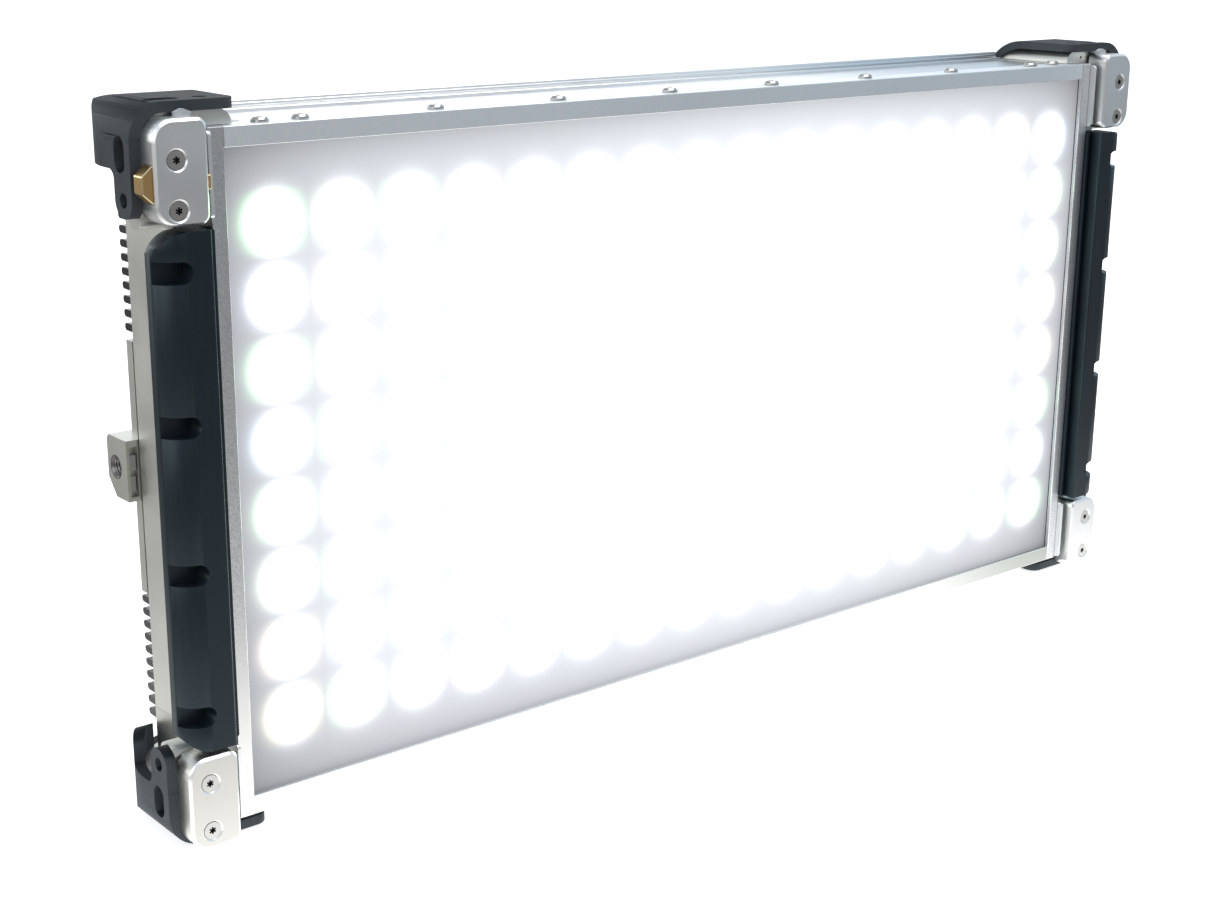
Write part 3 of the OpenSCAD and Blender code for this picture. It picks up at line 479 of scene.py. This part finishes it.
def screen_glass():
    """Dark glass with faint smears in its gloss."""
    m = Shader("screen_glass", (0.012, 0.016, 0.022))
    m.set(**{"Coat Weight": 1.0, "Coat Roughness": 0.03})
    smear = m.noise(60, 5)
    m.feed("Roughness", m.span(smear, 0.4, 0.7, 0.06, 0.2))
    return m.mat


# ---------------------------------------------------------------- dressing the CAD nodes

def soften(names, width, polished=None):
    """Rounds the sharp edges of CAD nodes with real bevels; the bevel faces may be polished."""
    for name in names:
        node = NODES[name]
        weld = node.modifiers.new("weld", "WELD")
        weld.merge_threshold = 1e-6
        bevel = node.modifiers.new("edges", "BEVEL")
        bevel.width = width
        bevel.segments = 2
        bevel.limit_method = "ANGLE"
        bevel.angle_limit = math.radians(40)
        bevel.harden_normals = True
        bevel.use_clamp_overlap = True
        if polished is not None:
            node.data.materials.append(polished)
            bevel.material = 1


def dress(names, mat):
    for name in names:
        slots = NODES[name].data.materials
        slots.clear()
        slots.append(mat)


def corner_names(stem):
    return [stem + "_" + c for c in ("tl", "tr", "bl", "br")]


def side_names(stem):
    return [stem + "_left", stem + "_right"]


def dress_frame():
    bezel = blasted_aluminium("bezel_blasted_painted_light", (0.58, 0.60, 0.61), (0.92, 0.94, 0.95), 0.30)
    # painted light: the left bezel strip turns paler and smoother towards the bottom
    painted_light_fade(bezel, "Object", "Z", CENTRE_Z - 0.03, CENTRE_Z - 0.11, (0.88, 0.885, 0.87), 0.3)
    # painted light: the right bezel strip is a paler copy of the strips' blasted aluminium
    far_strip_painted_light = blasted_aluminium("bezel_far_blasted_painted_light", (0.66, 0.67, 0.69), (0.95, 0.96, 0.98), 0.38)
    # painted light: the bottom bezel strip is a near-white copy of the strips' metal, with painted
    # shade darkening it towards its right end
    foot_strip_painted_light = satin_metal("bezel_foot_satin_painted_light", (0.97, 0.975, 0.97), 0.3, mottling=0.01)
    painted_light_fade(foot_strip_painted_light, "Object", "X", 0.10, 0.28, (0.46, 0.48, 0.45), 0.3)
    # painted light: the top and bottom bands run from near white on the left to a darker, bluer
    # grey on the right
    band = satin_metal("band_anodised_painted_light", (0.97, 0.975, 0.975), 0.3, mottling=0.02,
                       streak=(0.03, 1, 1))
    painted_light_fade(band, "Object", "X", 0.04, 0.17, (0.70, 0.73, 0.755), 0.3)
    casting = satin_metal("casting_grey", (0.72, 0.725, 0.68), 0.4, mottling=0.06, depth=0.00003)
    strip = satin_metal("strip_grey", (0.76, 0.765, 0.715), 0.42, mottling=0.04, depth=0.00002)
    bracket = satin_metal("bracket_anodised", (0.90, 0.915, 0.915), 0.34, mottling=0.03)
    polish_chamfers(bracket, (0.97, 0.97, 0.97), 0.3)
    # painted shade: the lower left bracket is a darker copy of the brackets' anodised metal
    bracket_painted_shade = satin_metal("bracket_anodised_painted_shade", (0.70, 0.695, 0.655), 0.36, mottling=0.03)
    polish_chamfers(bracket_painted_shade, (0.97, 0.97, 0.96), 0.3)
    polish = satin_metal("polished_edge", (0.95, 0.95, 0.95), 0.14, mottling=0.01, depth=0.000002)
    rail = satin_metal("rail_black", (0.008, 0.013, 0.019), 0.36, streak=(1, 1, 0.03), metallic=0.0)
    tint_gloss(rail, (0.72, 0.93, 1.0), 0.45)
    rubber = moulded("bumper_rubber_painted_shade", (0.046, 0.052, 0.058), 0.62, sheen=0.05)
    # painted shade: the bumpers' up-facing faces are darkened
    painted_light_fade(rubber, "Normal", "Z", 0.4, 0.8, (0.012, 0.014, 0.017), 0.62)
    tint_gloss(rubber, (0.85, 0.95, 1.0), 0.14)
    steel = satin_metal("stainless", (0.50, 0.49, 0.48), 0.2)
    drive = satin_metal("stainless_drive_painted_shade", (0.66, 0.65, 0.63), 0.2)
    # painted shade: the bracket screws turn near black behind a set depth, in their drive recesses
    painted_light_fade(drive, "Object", "Y", FACE_Y - 0.0076, FACE_Y - 0.0068, (0.06, 0.06, 0.06), 0.4)
    bush = satin_metal("bush_steel", (0.20, 0.19, 0.18), 0.35)
    brass = satin_metal("brass", (0.72, 0.47, 0.20), 0.34)
    sink = satin_metal("sink_anodised", (0.11, 0.11, 0.112), 0.27, streak=(0.02, 1, 1))
    white = moulded("reflector_white", (0.86, 0.86, 0.86), 0.3)
    seal = moulded("gasket_rubber", (0.03, 0.03, 0.03), 0.8)
    housing = powder_coat("housing_coat", (0.055, 0.058, 0.064), 0.5)
    plate = satin_metal("plate_aluminium", (0.55, 0.55, 0.54), 0.38, streak=(0.03, 1, 1))
    panel = powder_coat("panel_black", (0.022, 0.023, 0.026), 0.4, grain=1600, depth=0.00004)
    plastic = moulded("socket_plastic", (0.02, 0.02, 0.022), 0.42)
    button = moulded("button_grey", (0.12, 0.12, 0.125), 0.5)
    grip = moulded("knob_rubber", (0.022, 0.022, 0.024), 0.55, sheen=0.1)
    red = moulded("rocker_red", (0.42, 0.012, 0.012), 0.3)
    board = circuit_board("board_green", (0.015, 0.10, 0.04))
    board_white = circuit_board("board_white", (0.8, 0.8, 0.78))

    # painted light: the top bezel strip is a paler, bluer copy of the strips' blasted aluminium
    top_strip_painted_light = blasted_aluminium("bezel_top_blasted_painted_light", (0.84, 0.91, 0.96), (1.0, 1.0, 1.0), 0.46,
                                  0.0001)
    dress(["bezel_left"], bezel)
    dress(["bezel_right"], far_strip_painted_light)
    dress(["bezel_bottom"], foot_strip_painted_light)
    dress(["bezel_top"], top_strip_painted_light)
    dress(["top_extrusion", "bottom_extrusion"], band)
    dress(side_names("side_extrusion"), strip)
    dress(side_names("yoke_rail"), casting)
    dress(corner_names("corner_block"), casting)
    dress(["bracket_tl", "bracket_tr", "bracket_br", "guide_plates"], bracket)
    dress(["bracket_bl"], bracket_painted_shade)
    dress(side_names("accessory_rail"), rail)
    dress(corner_names("bumper"), rubber)
    dress(["bezel_screws", "bumper_screws", "yoke_screws", "housing_screws", "latch_spring"], steel)
    dress(["bracket_screws"], drive)
    dress(["yoke_inserts"], bush)
    dress(["lug_pads", "power_module"], plate)
    dress(["accessory_latch"], brass)
    dress(["heat_sink_upper", "heat_sink_lower"], sink)
    dress(["heat_spreader", "rear_plate"], plate)
    dress(["reflector_cups", "diffuser_frame"], white)
    dress(["led_boards"], board_white)
    dress(["led_emitters"], glowing("led_phosphor", (1.0, 0.93, 0.72), 3.0))
    dress(["diffuser_gasket"], seal)
    dress(["diffuser_panel"], lit_diffuser())
    dress(["rear_housing"], housing)
    dress(["control_panel", "switch_frame"], panel)
    dress(["display_window"], screen_glass())
    dress(["driver_board", "control_board"], board)
    dress(["power_inlet", "data_sockets"], plastic)
    dress(["button_1", "button_2", "button_3"], button)
    dress(["knob_left", "knob_right"], grip)
    dress(["power_rocker"], red)

    soften(corner_names("bracket"), 0.0002, polish)
    soften(["guide_plates"], 0.0003, polish)
    soften(["bezel_left", "bezel_right", "bezel_top", "bezel_bottom"], 0.0004, polish)
    soften(corner_names("bumper"), 0.0011)
    soften(side_names("accessory_rail"), 0.0005)
    soften(corner_names("corner_block") + side_names("yoke_rail"), 0.0007)
    soften(side_names("side_extrusion") + ["top_extrusion", "bottom_extrusion"], 0.0003)
    bright_brass = satin_metal("brass_bright", (0.93, 0.76, 0.45), 0.2, mottling=0.01)
    soften(["accessory_latch"], 0.0005, bright_brass)
    soften(["switch_frame"], 0.0004)
    soften(["knob_left", "knob_right", "button_1", "button_2", "button_3"], 0.0005)
    soften(["bezel_screws", "bracket_screws", "bumper_screws", "yoke_screws", "housing_screws"],
           0.00015)


# ---------------------------------------------------------------- small pieces over the CAD

def new_piece(name, points, faces, mat, body=ROOT):
    """A piece from points in panel millimetres, carried by one of the bodies."""
    mesh = bpy.data.meshes.new(name)
    mesh.from_pydata([place(*p) for p in points], [], faces)
    mesh.update()
    piece = bpy.data.objects.new(name, mesh)
    bpy.context.scene.collection.objects.link(piece)
    mesh.materials.append(mat)
    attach(piece, body)


def slab(points, y0, y1):
    """Extrudes a flat outline of x, z points between two depths."""
    n = len(points)
    corners = [(x, y0, z) for x, z in points] + [(x, y1, z) for x, z in points]
    faces = [tuple(range(n)), tuple(range(2 * n - 1, n - 1, -1))]
    faces += [(k, k + n, (k + 1) % n + n, (k + 1) % n) for k in range(n)]
    return corners, faces


def merged(parts):
    """Several slabs as one set of points and faces."""
    points, faces = [], []
    for corners, sides in parts:
        faces += [tuple(i + len(points) for i in face) for face in sides]
        points += corners
    return points, faces


def bar(x0, x1, z0, z1, y0, y1):
    return slab([(x0, z0), (x1, z0), (x1, z1), (x0, z1)], y0, y1)


def disc(x, z, radius, y0, y1, count=24):
    turns = [2 * math.pi * k / count for k in range(count)]
    return slab([(x + radius * math.cos(a), z + radius * math.sin(a)) for a in turns], y0, y1)


def lathe_x(profile, y, z, count=48):
    """Turns a closed profile of x, radius points about an axis along X."""
    points = []
    for k in range(count):
        a = 2 * math.pi * k / count
        points += [(x, y + r * math.cos(a), z + r * math.sin(a)) for x, r in profile]
    n = len(profile)
    faces = []
    for k in range(count):
        here, after = k * n, (k + 1) % count * n
        faces += [(here + j, here + (j + 1) % n, after + (j + 1) % n, after + j) for j in range(n)]
    return points, faces


def add_pips(mat):
    """Peaked locating pips over the upper brackets."""
    for name, s in (("pip_left", -1), ("pip_right", 1)):
        outline = [(s * 296.6, 158.6), (s * 303.5, 158.6), (s * 303.5, 160.6), (s * 300.6, 161.8),
                   (s * 299.4, 161.8), (s * 296.6, 160.6)]
        new_piece(name, *slab(outline, 0.2, 2.9), mat)


def add_threads(mat):
    """Screw threads in the yoke bushes."""
    crests = [(292.6 + THREAD_PITCH / 2 * k, 3.62 if k % 2 else 4.05) for k in range(27)]
    profile = crests + [(crests[-1][0], 4.1), (crests[0][0], 4.1)]
    for name, s in (("thread_left", -1), ("thread_right", 1)):
        new_piece(name, *lathe_x([(s * x, r) for x, r in profile], BUSH_Y, 0), mat)


def add_contacts(mat):
    """Gold contact sleeves on the pins of the round sockets."""
    sockets = (("contacts_inlet", 150, 4), ("contacts_data_a", -140, 5),
               ("contacts_data_b", -178, 5))
    for name, x, count in sockets:
        pins = []
        for k in range(count):
            a = 2 * math.pi * k / count
            pins.append(disc(x + PIN_CIRCLE * math.cos(a), SOCKET_Z - PIN_CIRCLE * math.sin(a),
                             1.0, 76.0, 82.65))
        new_piece(name, *merged(pins), mat)


def add_display(mat):
    """Lit level bars behind the display glass, with no text."""
    bars = []
    for z, level in ((25, 44), (15, 30), (5, 52)):
        bars.append(bar(-79, -75, z - 2, z + 2, *INK))
        bars.append(bar(-71, -71 + level, z - 2, z + 2, *INK))
        bars.append(bar(-71 + level + 1, -15, z - 0.25, z + 0.25, *INK))
    new_piece("display_bars", *merged(bars), mat)


def add_markings(paint):
    """Ticks round the knobs, knob pointers and button dots."""
    ticks = []
    for _, x in KNOBS:
        for k in range(11):
            a = math.radians(225 - 27 * k)
            c, s = math.cos(a), math.sin(a)
            near, far = 11.6, 13.2 if k % 5 == 0 else 12.6
            ends = [(near, -0.2), (far, -0.2), (far, 0.2), (near, 0.2)]
            ticks.append(slab([(x + u * c - v * s, KNOB_Z + u * s + v * c) for u, v in ends], *INK))
    new_piece("knob_ticks", *merged(ticks), paint)
    for body, x in KNOBS:
        inlay = bar(x - 0.42, x + 0.42, KNOB_Z + 4.15, KNOB_Z + 8.85, 96.55, 97.0)
        new_piece(body + "_pointer", *inlay, paint, body)
    for k, x in enumerate(BUTTON_X):
        dot = disc(x, BUTTON_Z, 1.1, BUTTON_FACE - 0.05, BUTTON_FACE + 0.06)
        new_piece("button_%d_dot" % (k + 1), *dot, paint, "button_%d" % (k + 1))


def add_rocker_marks(paint):
    """A line and a ring on the rocker's face, which is a shallow vee tipped on its pin."""
    def on_vee(u, v):
        return v + ROCKER_VALLEY + abs(u) * ROCKER_SLOPE - MARK_SINK

    points, faces = bar(-4.9, -4.1, -2, 2, 0, MARK_DEPTH)
    line = [(u, on_vee(u, v), w) for u, v, w in points]
    ring = []
    ring_faces = []
    count = 24
    for v in (0, MARK_DEPTH):
        for radius in (1.3, 1.9):
            for k in range(count):
                a = 2 * math.pi * k / count
                u = 4.5 + radius * math.cos(a)
                ring.append((u, on_vee(u, v), radius * math.sin(a)))
    for k in range(count):
        j = (k + 1) % count
        for low, high in ((0, 1), (1, 3), (3, 2), (2, 0)):
            low_row, high_row = low * count, high * count
            ring_faces.append((low_row + k, low_row + j, high_row + j, high_row + k))
    points, faces = merged([(line, faces), (ring, ring_faces)])
    c, s = math.cos(ROCKER_TILT), math.sin(ROCKER_TILT)
    tipped = [(ROCKER_X + u * c - v * s, ROCKER_Y + u * s + v * c, ROCKER_Z + w)
              for u, v, w in points]
    new_piece("rocker_marks", tipped, faces, paint, "rocker")


def add_details():
    paint = moulded("mark_white", (0.78, 0.78, 0.78), 0.5, depth=0.00001)
    gold = satin_metal("contact_gold", (0.83, 0.62, 0.26), 0.22, mottling=0.02)
    pip = moulded("pip_grey", (0.42, 0.44, 0.45), 0.5, depth=0.00001)
    thread = satin_metal("thread_steel", (0.30, 0.29, 0.28), 0.3)
    add_pips(pip)
    add_threads(thread)
    add_contacts(gold)
    add_display(glowing("display_glow", (0.55, 0.85, 1.0), 1.6))
    add_markings(paint)
    add_rocker_marks(paint)


make_camera()
make_world()
make_floor()
area_light("overhead", (0.3, -0.2, 2.2), (0, 0, 0.17), (2.4, 1.6), 26)
area_light("side_left", (-2.2, -0.6, 1.0), (0, 0, 0.17), (1.4, 1.4), 9)
dress_frame()
add_details()
